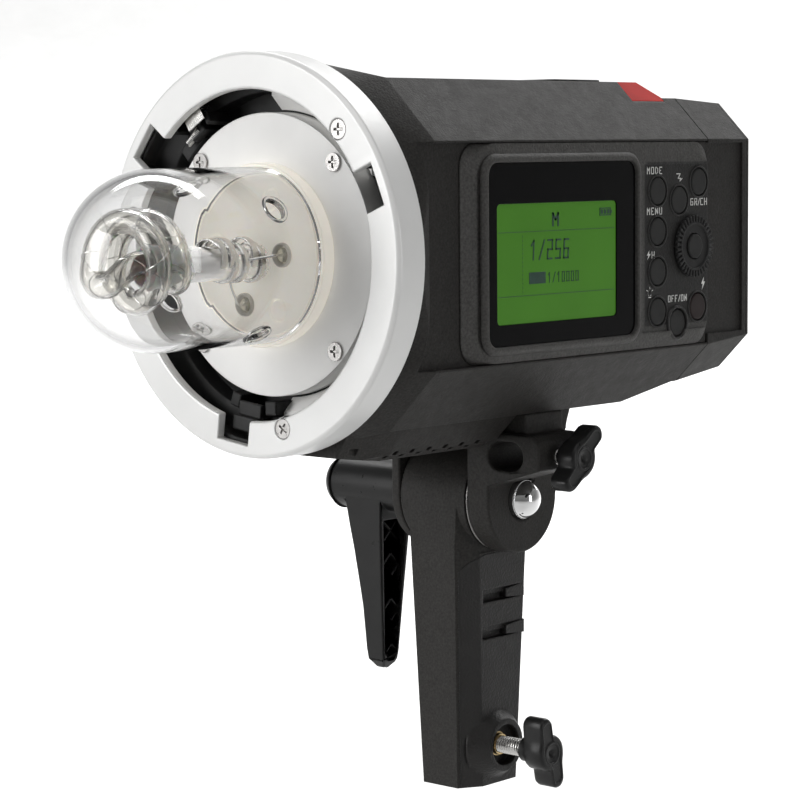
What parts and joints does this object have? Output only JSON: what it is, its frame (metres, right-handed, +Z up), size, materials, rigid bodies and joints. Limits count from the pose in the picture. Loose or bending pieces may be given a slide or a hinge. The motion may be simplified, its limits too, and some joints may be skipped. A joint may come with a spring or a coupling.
{
  "type": "monolight strobe",
  "caption": "Battery monolight strobe head with a bayonet ring, glass domed coil flash tube, side display panel and a tilting stand bracket with an umbrella slot.",
  "frame": {"origin": "centre of the stand socket's mouth at the bottom of the handle", "axes": "+X to the control panel side, +Y to the battery at the rear, +Z up; the lamp faces -Y"},
  "size_m": [0.125, 0.2549, 0.2445],
  "materials": {
    "white_ring": "satin white",
    "steel": "satin",
    "dark_steel": "dark satin",
    "black_plastic": "fine matt",
    "white_reflector": "matt white",
    "ceramic": "matt",
    "frosted": "frosted",
    "dome_glass": "clear",
    "tube_glass": "clear",
    "led_lens": "gloss",
    "body_plastic": "fine grained",
    "panel_plastic": "satin",
    "grip_plastic": "coarse grained",
    "screen_black": "gloss",
    "lcd_green": "backlit",
    "board_green": "satin",
    "black_rubber": "matt",
    "red_rubber": "matt",
    "red_window": "clear red",
    "capacitor_blue": "gloss",
    "coil_brown": "matt",
    "brass": "turned",
    "knob_black": "satin",
    "chrome": "polished"
  },
  "bodies": {
    "handle": {"handle_body": "body_plastic", "grip_cover": "grip_plastic", "tilt_washers": "dark_steel", "thread_insert": "brass"},
    "stand_pad": {"stand_pad": "brass"},
    "stand_knob": {"stand_screw": "steel", "stand_knob": "knob_black"},
    "umbrella_pad": {"umbrella_pad": "brass"},
    "umbrella_knob": {"umbrella_screw": "steel", "umbrella_knob": "knob_black"},
    "tilt_lever": {"tilt_bolt": "steel", "tilt_lever": "knob_black"},
    "lock_tab": {"lock_tab": "black_plastic"},
    "mode_button": {"mode_button": "black_rubber"},
    "menu_button": {"menu_button": "black_rubber"},
    "hss_button": {"hss_button": "black_rubber"},
    "lamp_button": {"lamp_button": "black_rubber"},
    "sync_button": {"sync_button": "black_rubber"},
    "group_button": {"group_button": "black_rubber"},
    "power_button": {"power_button": "black_rubber"},
    "test_button": {"test_button": "red_rubber"},
    "dial": {"dial": "black_plastic"},
    "dial_button": {"dial_button": "black_rubber"},
    "fan": {"fan_rotor": "black_plastic"},
    "battery": {"battery_case": "body_plastic", "battery_cover": "body_plastic", "battery_cells": "capacitor_blue"},
    "battery_latch": {"battery_latch": "black_plastic"},
    "head": {"mount_ring": "white_ring", "front_screws": "steel", "bayonet_housing": "black_plastic", "spring_clip": "steel", "reflector_liner": "white_reflector", "reflector_plate": "white_reflector", "tube_socket": "ceramic", "base_collar": "frosted", "glass_dome": "dome_glass", "flash_tube": "tube_glass", "tube_stem": "frosted", "electrode_bands": "steel", "modelling_led": "led_lens", "body_right": "body_plastic", "body_left": "body_plastic", "display_bezel": "panel_plastic", "left_panel": "panel_plastic", "display_glass": "screen_black", "lcd_panel": "lcd_green", "display_board": "board_green", "sensor_window": "red_window", "top_plate": "black_plastic", "main_board": "board_green", "capacitor_bank": "capacitor_blue", "trigger_coil": "coil_brown", "fan_frame": "black_plastic", "case_screws": "dark_steel", "rear_panel": "black_plastic", "yoke": "body_plastic", "tilt_nut": "chrome"}
  },
  "joints": [
    {"name": "head_tilt", "type": "hinge", "parent": "handle", "child": "head", "pos_m": [0, 0, 0.098], "axis": [1, 0, 0], "range_deg": [-85, 85]},
    {"name": "tilt_lever_turn", "type": "hinge", "parent": "head", "child": "tilt_lever", "pos_m": [-0.035, 0, 0.098], "axis": [1, 0, 0], "range_deg": [-75, 0]},
    {"name": "stand_knob_turn", "type": "hinge", "parent": "handle", "child": "stand_knob", "pos_m": [0.0266, 0, 0.0136], "axis": [-1, 0, 0], "range_deg": [0, 1080]},
    {"name": "stand_pad_slide", "type": "slide", "parent": "handle", "child": "stand_pad", "axis": [-1, 0, 0], "range_m": [0, 0.00301]},
    {"name": "umbrella_knob_turn", "type": "hinge", "parent": "head", "child": "umbrella_knob", "pos_m": [0.05, -0.007, 0.1144], "axis": [-1, 0, 0], "range_deg": [-1080, 360]},
    {"name": "umbrella_pad_slide", "type": "slide", "parent": "head", "child": "umbrella_pad", "axis": [-1, 0, 0], "range_m": [-0.00301, 0.00101]},
    {"name": "lock_tab_slide", "type": "slide", "parent": "head", "child": "lock_tab", "axis": [0, 1, 0], "range_m": [0, 0.004], "stiffness_N_per_m": 600},
    {"name": "mode_press", "type": "slide", "parent": "head", "child": "mode_button", "axis": [-1, 0, 0], "range_m": [0, 0.0008], "stiffness_N_per_m": 400},
    {"name": "menu_press", "type": "slide", "parent": "head", "child": "menu_button", "axis": [-1, 0, 0], "range_m": [0, 0.0008], "stiffness_N_per_m": 400},
    {"name": "hss_press", "type": "slide", "parent": "head", "child": "hss_button", "axis": [-1, 0, 0], "range_m": [0, 0.0008], "stiffness_N_per_m": 400},
    {"name": "lamp_press", "type": "slide", "parent": "head", "child": "lamp_button", "axis": [-1, 0, 0], "range_m": [0, 0.0008], "stiffness_N_per_m": 400},
    {"name": "sync_press", "type": "slide", "parent": "head", "child": "sync_button", "axis": [-1, 0, 0], "range_m": [0, 0.0008], "stiffness_N_per_m": 400},
    {"name": "group_press", "type": "slide", "parent": "head", "child": "group_button", "axis": [-1, 0, 0], "range_m": [0, 0.0008], "stiffness_N_per_m": 400},
    {"name": "power_press", "type": "slide", "parent": "head", "child": "power_button", "axis": [-1, 0, 0], "range_m": [0, 0.0008], "stiffness_N_per_m": 400},
    {"name": "test_press", "type": "slide", "parent": "head", "child": "test_button", "axis": [-1, 0, 0], "range_m": [0, 0.0008], "stiffness_N_per_m": 400},
    {"name": "dial_turn", "type": "hinge", "parent": "head", "child": "dial", "pos_m": [0.0585, 0.049, 0.181], "axis": [1, 0, 0], "continuous": true},
    {"name": "dial_press", "type": "slide", "parent": "head", "child": "dial_button", "axis": [-1, 0, 0], "range_m": [0, 0.0006], "stiffness_N_per_m": 400},
    {"name": "fan_spin", "type": "hinge", "parent": "head", "child": "fan", "pos_m": [0, -0.04, 0.213], "axis": [0, -1, 0], "continuous": true},
    {"name": "battery_slide", "type": "slide", "parent": "head", "child": "battery", "axis": [0, 0, 1], "range_m": [0, 0.1]},
    {"name": "battery_release", "type": "slide", "parent": "battery", "child": "battery_latch", "axis": [0, 0, -1], "range_m": [0, 0.0022], "stiffness_N_per_m": 500}
  ],
  "couplings": [
    {"joint": "stand_pad_slide", "follows": "stand_knob_turn", "m_per_rad": 0.00015915},
    {"joint": "umbrella_pad_slide", "follows": "umbrella_knob_turn", "m_per_rad": 0.00015915}
  ]
}
